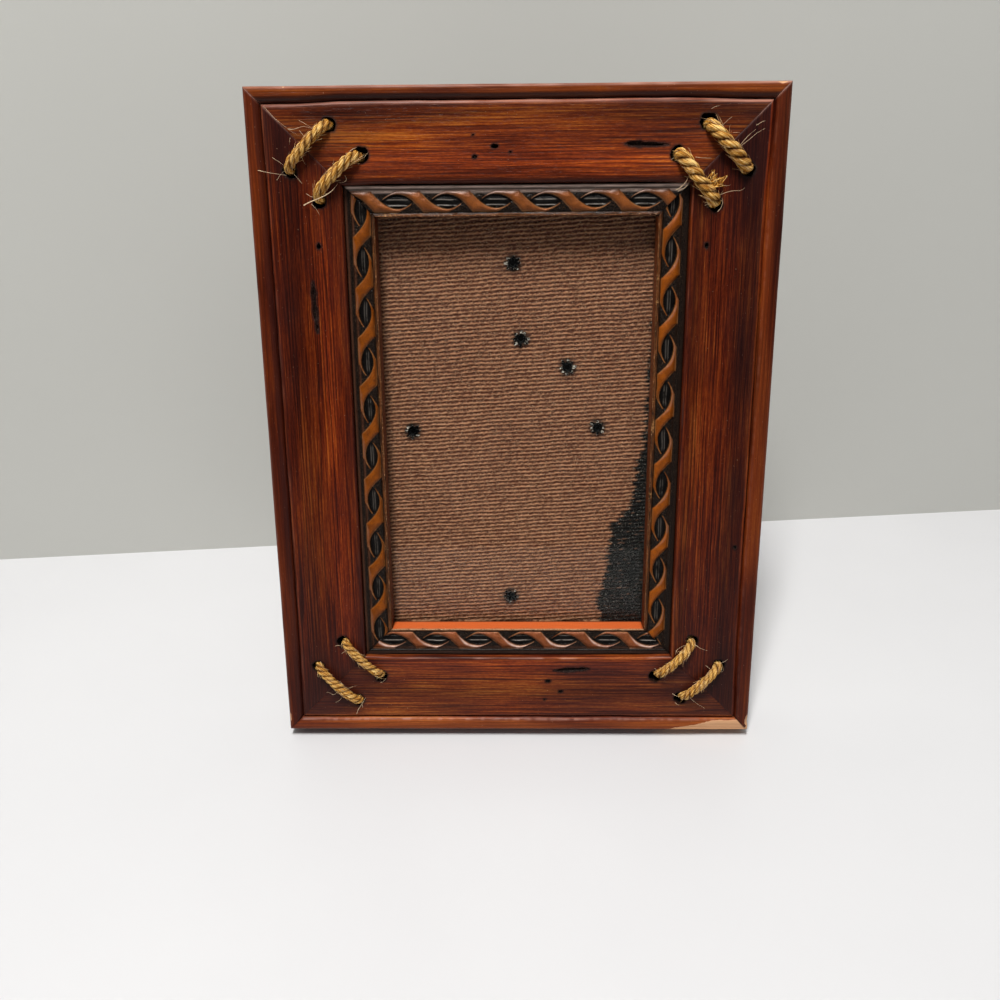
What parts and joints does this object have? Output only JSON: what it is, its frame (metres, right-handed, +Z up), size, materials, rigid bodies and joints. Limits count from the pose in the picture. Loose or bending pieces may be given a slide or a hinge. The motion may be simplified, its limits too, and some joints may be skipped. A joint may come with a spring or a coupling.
{
  "type": "picture frame",
  "caption": "Mitred wooden picture frame with a beaded rail, a ribbon-carved inner slip, rope-stitched corners, turn clips and a folding back strut.",
  "frame": {"origin": "on the table, under the middle of the standing frame's overall width and depth", "axes": "+Z up, +X to the viewer's right, -Y the way the picture faces, leaning back 10 degrees"},
  "size_m": [0.1652, 0.0828, 0.2158],
  "materials": {
    "stained_wood": "satin stain",
    "slip_lacquer": "black lacquer rubbed back to copper brown",
    "sisal_rope": "twisted natural fibre",
    "glass": "clear",
    "hardboard": "painted black behind, bare screen-textured brown in front",
    "plated_steel": "dull plated",
    "aged_steel": "darkened",
    "plain_steel": "plain"
  },
  "bodies": {
    "frame": {"rail_top": "stained_wood", "rail_bottom": "stained_wood", "rail_left": "stained_wood", "rail_right": "stained_wood", "slip_top": "slip_lacquer", "slip_bottom": "slip_lacquer", "slip_left": "slip_lacquer", "slip_right": "slip_lacquer", "mitre_nails": "plain_steel", "slip_pins": "plain_steel", "glass_pane": "glass", "backing_board": "hardboard", "stitch_top_left_outer": "sisal_rope", "stitch_top_left_inner": "sisal_rope", "stitch_top_right_outer": "sisal_rope", "stitch_top_right_inner": "sisal_rope", "stitch_bottom_left_outer": "sisal_rope", "stitch_bottom_left_inner": "sisal_rope", "stitch_bottom_right_outer": "sisal_rope", "stitch_bottom_right_inner": "sisal_rope", "hinge_board_leaf": "plated_steel", "hinge_eyelets": "aged_steel", "hinge_pin": "plated_steel", "eyelet_left": "aged_steel", "eyelet_bottom": "aged_steel", "eyelet_top": "aged_steel", "eyelet_right": "aged_steel"},
    "strut": {"strut": "hardboard", "hinge_strut_leaf": "plated_steel", "strut_rivets": "aged_steel"},
    "clip_left": {"clip_left": "plated_steel"},
    "clip_bottom": {"clip_bottom": "plated_steel"},
    "hanger_clip_top": {"hanger_clip_top": "plated_steel"},
    "hanger_clip_right": {"hanger_clip_right": "plated_steel"}
  },
  "joints": [
    {"name": "strut_hinge", "type": "hinge", "parent": "frame", "child": "strut", "pos_m": [0.00645, -0.00011, 0.12784], "axis": [-0.849, 0.0918, 0.5204], "range_deg": [0, 21.5]},
    {"name": "clip_left_turn", "type": "hinge", "parent": "frame", "child": "clip_left", "pos_m": [-0.0357, -0.00521, 0.10642], "axis": [0, 0.9848, -0.1736], "range_deg": [-90, 90]},
    {"name": "clip_bottom_turn", "type": "hinge", "parent": "frame", "child": "clip_bottom", "pos_m": [-0.0023, -0.01574, 0.04664], "axis": [0, 0.9848, -0.1736], "range_deg": [-90, 90]},
    {"name": "hanger_clip_top_turn", "type": "hinge", "parent": "frame", "child": "hanger_clip_top", "pos_m": [-0.0012, 0.00447, 0.16127], "axis": [0, 0.9848, -0.1736], "range_deg": [-90, 90]},
    {"name": "hanger_clip_right_turn", "type": "hinge", "parent": "frame", "child": "hanger_clip_right", "pos_m": [0.0275, -0.00503, 0.1074], "axis": [0, 0.9848, -0.1736], "range_deg": [-80, 90]}
  ]
}
